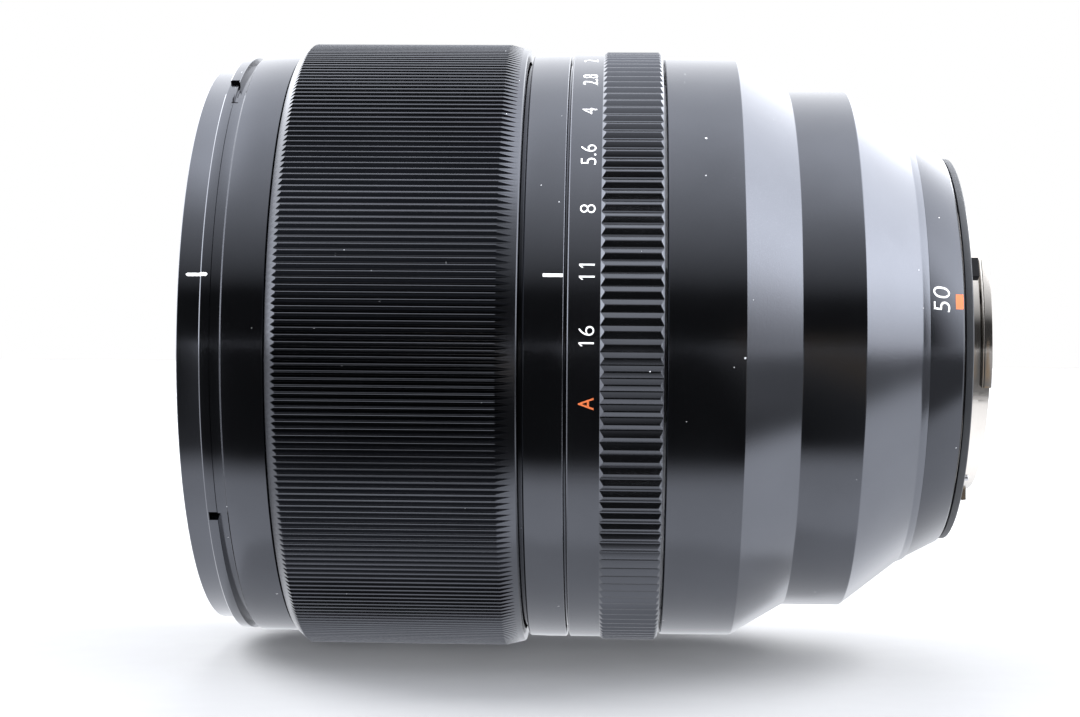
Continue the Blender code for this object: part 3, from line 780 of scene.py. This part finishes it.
def rear_baffle():
    """The funnel round the rear glass, with fine light-trap steps."""
    front, rear, top = span("rear_baffle")
    steps = 12
    profile = [(front, 14.3), (front, top), (rear, top, 0.05), (rear, 16.3, 0.05)]
    for i in range(steps):
        share = (i + 0.5) / steps
        along = rear - (rear - front - 0.8) * share
        radius = 16.3 - 2.0 * share
        profile += [(along + 0.12, radius + 0.16, 0.02), (along, radius - 0.05, 0.02)]
    baffle = turned(rounded(profile, 0.02), MEDIUM)
    piece("rear_light_baffle", baffle, LOOKS["inner"], "barrel", ["rear_baffle"])


# ---------------------------------------------------------------- glass and its cells

# Radii of curvature of the front and rear face of each element
CURVES = [
    (85, 600), (55, 130), (60, -260), (-260, 42), (46, 30), (-32, 70), (70, -42), (58, -200), (80, 300),
    (200, 40), (34, -120), (-40, 150),
]
FACE_STEPS = 14
GLASS_SEGMENTS = 96
# The last two elements stay with the barrel when the others focus
FIXED_FROM = 10


def sag(curve, height):
    """How far a spherical face lies behind its vertex at a height from the axis."""
    size = abs(curve)
    return math.copysign(size - math.sqrt(size * size - height * height), curve)


def glass_elements():
    """Twelve elements with spherical faces, as wide as the CAD's and between the same end planes."""
    for i, (front_curve, rear_curve) in enumerate(CURVES):
        cad = f"lens_{i + 1}"
        front, rear, half = span(cad)
        if front_curve < 0:
            front -= sag(front_curve, half)
        if rear_curve > 0:
            rear -= sag(rear_curve, half)
        heights = [half * step / FACE_STEPS for step in range(FACE_STEPS + 1)]
        profile = [(front + sag(front_curve, h), h) for h in heights]
        profile += [(rear + sag(rear_curve, h), h) for h in reversed(heights)]
        body = "barrel" if i >= FIXED_FROM else "focus_unit"
        element = turned_solid(profile, GLASS_SEGMENTS)
        piece(f"glass_element_{i + 1}", element, LOOKS["glass"], body, [cad])


def cells():
    """The two black rings round the front glass that show inside the front opening."""
    front, rear, top = span("front_retaining_ring")
    inner = 29.2
    profile = [(front, inner + 0.5, 0.1), (front, top, 0.1), (rear, top), (rear, inner)]
    for i in range(4):
        along = rear - 0.9 * (i + 0.4)
        for back, up in ((0, 0.02), (0.3, 0.3), (0.5, 0.02)):
            profile.append((along - back, inner + up, 0.03))
    body = turned(rounded(profile, 0.04), MEDIUM)
    look = LOOKS["inner"]
    ring = piece("front_retainer", body, look, "focus_unit", ["front_retaining_ring"])
    notch = [box_at(place(front, top - 0.4, rise), (1.4, 1.6, 1.6), 0) for rise in (0, 180)]
    carve(ring, notch)
    cell_profile = [
        (15.6, 31.2, 0.1), (15.6, 32.7, 0.15), (21.0, 32.7), (21.0, 34.3), (58.9, 34.3), (58.9, 31.4),
        (52.3, 31.4), (52.3, 19.4), (48.5, 19.4), (48.5, 23.9), (33.5, 23.9), (33.5, 27.4), (24.1, 27.4),
        (24.1, 29.9), (21.0, 29.9), (21.0, 31.2),
    ]
    cell = turned(rounded(cell_profile, 0.1), MEDIUM)
    piece("front_cell_body", cell, LOOKS["inner"], "focus_unit", ["front_cell"])


lens_parts = (
    front_barrel, name_ring, index_barrel, rear_barrel, mount_collar, mount_gasket, focus_ring,
    aperture_ring, markings, bayonet, screw_heads, flange_details, contacts, rear_baffle, glass_elements,
    cells,
)

dress_cad_nodes()
for build in lens_parts:
    build()


# ---------------------------------------------------------------- studio


def camera():
    """The photographer's place, level with the optical axis, a third of a metre away."""
    data = bpy.data.cameras.new("camera")
    data.sensor_width = 36.0
    data.lens = 68.86
    data.clip_start, data.clip_end = 0.01, 20.0
    cam = bpy.data.objects.new("camera", data)
    bpy.context.scene.collection.objects.link(cam)
    yaw, pitch, roll = (math.radians(a) for a in (2.102, -0.218, -0.493))
    turn = Matrix.Rotation(yaw, 3, "Z") @ Matrix.Rotation(pitch, 3, "X") @ Matrix.Rotation(roll, 3, "Y")
    cam.matrix_world = Matrix.LocRotScale(
        Vector((0.00276, -0.30244, -0.00077)), turn @ Matrix.Rotation(math.radians(90), 3, "X"), None
    )
    bpy.context.scene.camera = cam


def plane(name, x_range, y_range, z, mat):
    """A flat sheet that belongs to the studio."""
    bm = bmesh.new()
    corners = ((0, 0), (1, 0), (1, 1), (0, 1))
    bm.faces.new([bm.verts.new((x_range[i], y_range[j], z)) for i, j in corners])
    mesh = bpy.data.meshes.new(name)
    bm.to_mesh(mesh)
    bm.free()
    mesh.materials.append(mat)
    obj = bpy.data.objects.new(name, mesh)
    bpy.context.scene.collection.objects.link(obj)
    return obj


def table():
    """A pale matt table that runs on to the horizon."""
    pale = surface("pale_table", (0.21, 0.212, 0.217), 0.7, mottle=0.005, grain=2.0, grain_depth=0.0002)
    plane("table", (-6, 6), (-6, 6), FLOOR - 0.00005, pale)


STUDIO_WHITE = (0.93, 0.95, 1.0, 1)
WARM = (0.3, 0.235, 0.17, 1)


def painted_reflection_sheet():
    """A glowing sheet that paints the lit table into reflections, as the finish of the lens mirrors it:
    painted reflection.

    It glows bright and has a gloss under the lens, and it stops a little way in front of the lens, where a
    dim glow paints the dark of the room and a warm glowing shape stands in that dark. Only reflections see
    this sheet.
    """
    mat = bpy.data.materials.new("painted_reflection_sheet")
    mat.use_nodes = True
    tree = mat.node_tree
    tree.nodes.remove(tree.nodes["Principled BSDF"])
    split = node(tree, "ShaderNodeSeparateXYZ", {0: node(tree, "ShaderNodeTexCoord").outputs["Object"]})
    x, y = split.outputs[0], split.outputs[1]
    # Painted reflection: the glow strengths of the sheet, dim beyond the table's edge, brighter past the
    # ends, bright under the lens, with a warm glowing patch.
    past_left = ramp(tree, calc(tree, "MULTIPLY_ADD", y, -0.4, x), -0.035, -0.12)
    unlit = calc(tree, "MULTIPLY_ADD", past_left, 2.5, ramp(tree, x, 0.03, 0.13, 0.04, 0.45))
    lit = ramp(tree, y, -0.01, 0.03, 1.05, 0.6)
    beside = calc(tree, "MULTIPLY_ADD", y, 0.13, x)
    beyond = calc(tree, "MULTIPLY_ADD", y, 0.2, x)
    warm = calc(tree, "MULTIPLY", ramp(tree, beside, 0.042, 0.05), ramp(tree, y, -0.1, -0.13))
    warm = calc(tree, "MULTIPLY", warm, ramp(tree, beyond, 0.07, 0.062))
    dark_glow = node(tree, "ShaderNodeEmission", {0: STUDIO_WHITE, 1: unlit}).outputs[0]
    warm_glow = node(tree, "ShaderNodeEmission", {0: WARM, 1: 1.0}).outputs[0]
    dark_part = node(tree, "ShaderNodeMixShader", {0: warm, 1: dark_glow, 2: warm_glow}).outputs[0]
    lit_glow = node(tree, "ShaderNodeEmission", {0: STUDIO_WHITE, 1: lit}).outputs[0]
    gloss = node(
        tree, "ShaderNodeBsdfAnisotropic", {"Color": (0.2, 0.2, 0.2, 1), "Roughness": 0.2}
    ).outputs[0]
    lit_part = node(tree, "ShaderNodeAddShader", {0: lit_glow, 1: gloss}).outputs[0]
    near = ramp(tree, y, -0.071, -0.052, smooth=True)
    shown = node(tree, "ShaderNodeMixShader", {0: near, 1: dark_part, 2: lit_part}).outputs[0]
    tree.links.new(shown, tree.nodes["Material Output"].inputs[0])
    sheet = plane("painted_reflection_sheet", (-1.0, 1.0), (-3.0, 1.5), FLOOR + 0.0001, mat)
    sheet.visible_camera = False
    sheet.visible_diffuse = False
    sheet.visible_transmission = False
    sheet.visible_shadow = False


# Name, strength, height above the table and turn about the vertical of each light, in degrees
TABLE_LIGHTS = [
    ("back_light", 2.8, 36, 0),
    ("back_left_light", 8.7, 37, 58),
    ("back_right_light", 8.7, 37, -58),
    ("front_fill", 2.0, 18, 180),
]
LIGHT_SPREAD = 32


def table_lights():
    """Soft lights for the table that show in no reflection; their shadows overlap in front of the lens."""
    for name, strength, elevation, turn in TABLE_LIGHTS:
        data = bpy.data.lights.new(name, "SUN")
        data.energy = strength
        data.angle = math.radians(LIGHT_SPREAD)
        light = bpy.data.objects.new(name, data)
        bpy.context.scene.collection.objects.link(light)
        light.rotation_euler = (math.radians(elevation - 90), 0, math.radians(turn))
        light.visible_glossy = False
        light.visible_camera = False
        light.visible_transmission = False


def studio_light():
    """A white studio as one dome.

    Seen from the lens it is dark behind the camera, brightens towards a large soft light overhead, and
    has a broad softbox at each end of the table. The far side of the right-hand softbox is masked.
    """
    world = bpy.data.worlds.new("studio")
    bpy.context.scene.world = world
    world.use_nodes = True
    tree = world.node_tree
    tree.nodes.clear()
    where = node(tree, "ShaderNodeTexCoord").outputs["Generated"]
    split = node(tree, "ShaderNodeSeparateXYZ", {0: where})
    x, y, z = split.outputs[0], split.outputs[1], split.outputs[2]
    over = calc(tree, "MULTIPLY", calc(tree, "ARCTAN2", z, calc(tree, "MULTIPLY", y, -1.0)), 180 / math.pi)
    over = calc(tree, "ADD", over, calc(tree, "MULTIPLY", calc(tree, "LESS_THAN", over, -90.0), 360.0))
    edge, rise = ramp(tree, over, 20.0, 28.0, 0.04, 0.38), ramp(tree, over, 28.0, 95.0, 0.0, 2.1)
    middle = calc(tree, "ADD", edge, rise)
    middle = calc(tree, "MULTIPLY", middle, ramp(tree, over, 130.0, 180.0, 1.0, 0.6))
    right = ramp(tree, x, 0.1, 0.55, smooth=True)
    right = calc(tree, "MULTIPLY", right, ramp(tree, y, -0.66, -0.24, smooth=True))
    far_end = calc(tree, "MULTIPLY", ramp(tree, y, 0.25, 0.5), ramp(tree, x, 0.56, 0.66))
    far_end = calc(tree, "MULTIPLY", far_end, ramp(tree, z, 0.58, 0.44))
    right = calc(tree, "MULTIPLY", right, calc(tree, "SUBTRACT", 1.0, far_end))
    left = ramp(tree, x, -0.1, -0.62, smooth=True)
    left = calc(tree, "MULTIPLY", left, ramp(tree, y, -0.6, -0.15, smooth=True))
    right_glow = ramp(tree, z, -0.05, 0.35, 3.0, 7.0)
    right_glow = calc(tree, "MULTIPLY", right_glow, ramp(tree, z, 0.4, 0.8, 1.0, 0.74))
    left_glow = ramp(tree, z, 0.1, 0.6, 6.0, 5.0)
    total = calc(tree, "MULTIPLY", middle, calc(tree, "SUBTRACT", calc(tree, "SUBTRACT", 1.0, right), left))
    total = calc(tree, "MULTIPLY_ADD", right, right_glow, total)
    total = calc(tree, "MULTIPLY_ADD", left, left_glow, total)
    total = calc(tree, "MULTIPLY", total, ramp(tree, far_end, 0.0, 1.0, 1.0, 0.45))
    warm = calc(tree, "MULTIPLY", ramp(tree, x, 0.15, 0.17), ramp(tree, x, 0.23, 0.2))
    warm = calc(tree, "MULTIPLY", warm, ramp(tree, over, 6.0, 5.0))
    lit = node(tree, "ShaderNodeBackground", {0: STUDIO_WHITE, 1: total}).outputs[0]
    warm_lit = node(tree, "ShaderNodeBackground", {0: WARM, 1: 1.0}).outputs[0]
    lit = node(tree, "ShaderNodeMixShader", {0: warm, 1: lit, 2: warm_lit}).outputs[0]
    backdrop = node(tree, "ShaderNodeBackground", {0: (1, 1, 1, 1), 1: 1.0}).outputs[0]
    seen = node(tree, "ShaderNodeLightPath").outputs["Is Camera Ray"]
    result = node(tree, "ShaderNodeMixShader", {0: seen, 1: lit, 2: backdrop}).outputs[0]
    output = node(tree, "ShaderNodeOutputWorld")
    tree.links.new(result, output.inputs[0])


camera()
table()
painted_reflection_sheet()
table_lights()
studio_light()
bpy.context.scene.view_settings.view_transform = "Standard"
